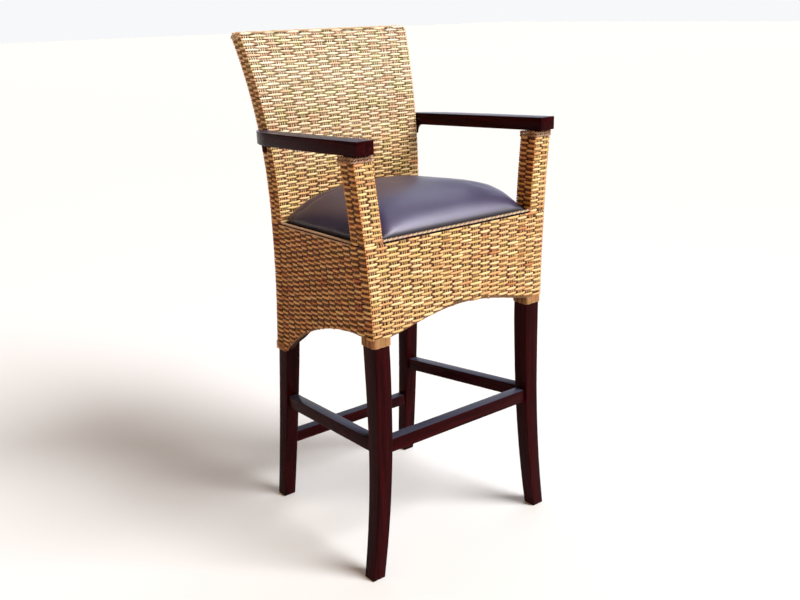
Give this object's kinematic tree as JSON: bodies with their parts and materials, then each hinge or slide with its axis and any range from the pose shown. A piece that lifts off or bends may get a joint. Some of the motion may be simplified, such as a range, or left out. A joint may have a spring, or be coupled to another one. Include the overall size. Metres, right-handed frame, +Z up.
{
  "type": "bar stool with arms",
  "caption": "Armed bar stool with a footrest, a dark hardwood frame, woven rope over the seat box, back and arm posts, and a padded leather seat.",
  "frame": {"origin": "on the floor, under the middle of the stool's overall box", "axes": "+Z up, the front of the stool faces -Y, +X to the right seen from the front"},
  "size_m": [0.5634, 0.5308, 1.171],
  "materials": {
    "dark_wood": "very dark glossy mahogany lacquer",
    "frame_wood": "raw hardwood and plywood, hidden",
    "rope": "natural twisted plant-fibre rope, plain weave, light to mid tan",
    "leather": "smooth dark plum-brown leather, soft gloss",
    "foam": "seat foam, hidden",
    "steel": "plain zinc-plated steel, hidden"
  },
  "bodies": {
    "root": {"arm_bolt_1_left": "steel", "arm_bolt_1_right": "steel", "arm_bolt_2_left": "steel", "arm_bolt_2_right": "steel", "arm_collar_left": "rope", "arm_collar_right": "rope", "arm_dowel_left": "frame_wood", "arm_dowel_right": "frame_wood", "arm_left": "dark_wood", "arm_right": "dark_wood", "back_rail_crest": "frame_wood", "back_rail_lower": "frame_wood", "back_rail_middle": "frame_wood", "back_weave_crest": "rope", "back_weave_front": "rope", "back_weave_rear": "rope", "back_weave_side_left": "rope", "back_weave_side_right": "rope", "board_screw_front_left": "steel", "board_screw_front_right": "steel", "board_screw_rear_left": "steel", "board_screw_rear_right": "steel", "corner_block_front_left": "frame_wood", "corner_block_front_right": "frame_wood", "corner_block_rear_left": "frame_wood", "corner_block_rear_right": "frame_wood", "corner_screw_front_left": "steel", "corner_screw_front_right": "steel", "corner_screw_rear_left": "steel", "corner_screw_rear_right": "steel", "front_binding_left": "rope", "front_binding_right": "rope", "front_footrest": "dark_wood", "front_leg_left": "dark_wood", "front_leg_right": "dark_wood", "front_rim": "rope", "front_weave": "rope", "post_weave_left": "rope", "post_weave_right": "rope", "rear_binding_left": "rope", "rear_binding_right": "rope", "rear_leg_left": "dark_wood", "rear_leg_right": "dark_wood", "rear_stretcher": "dark_wood", "rear_weave": "rope", "seat_board": "frame_wood", "seat_cover": "leather", "seat_foam": "foam", "seat_rail_front": "frame_wood", "seat_rail_left": "frame_wood", "seat_rail_rear": "frame_wood", "seat_rail_right": "frame_wood", "side_rim_left": "rope", "side_rim_right": "rope", "side_stretcher_left": "dark_wood", "side_stretcher_right": "dark_wood", "side_weave_left": "rope", "side_weave_right": "rope"}
  },
  "joints": []
}
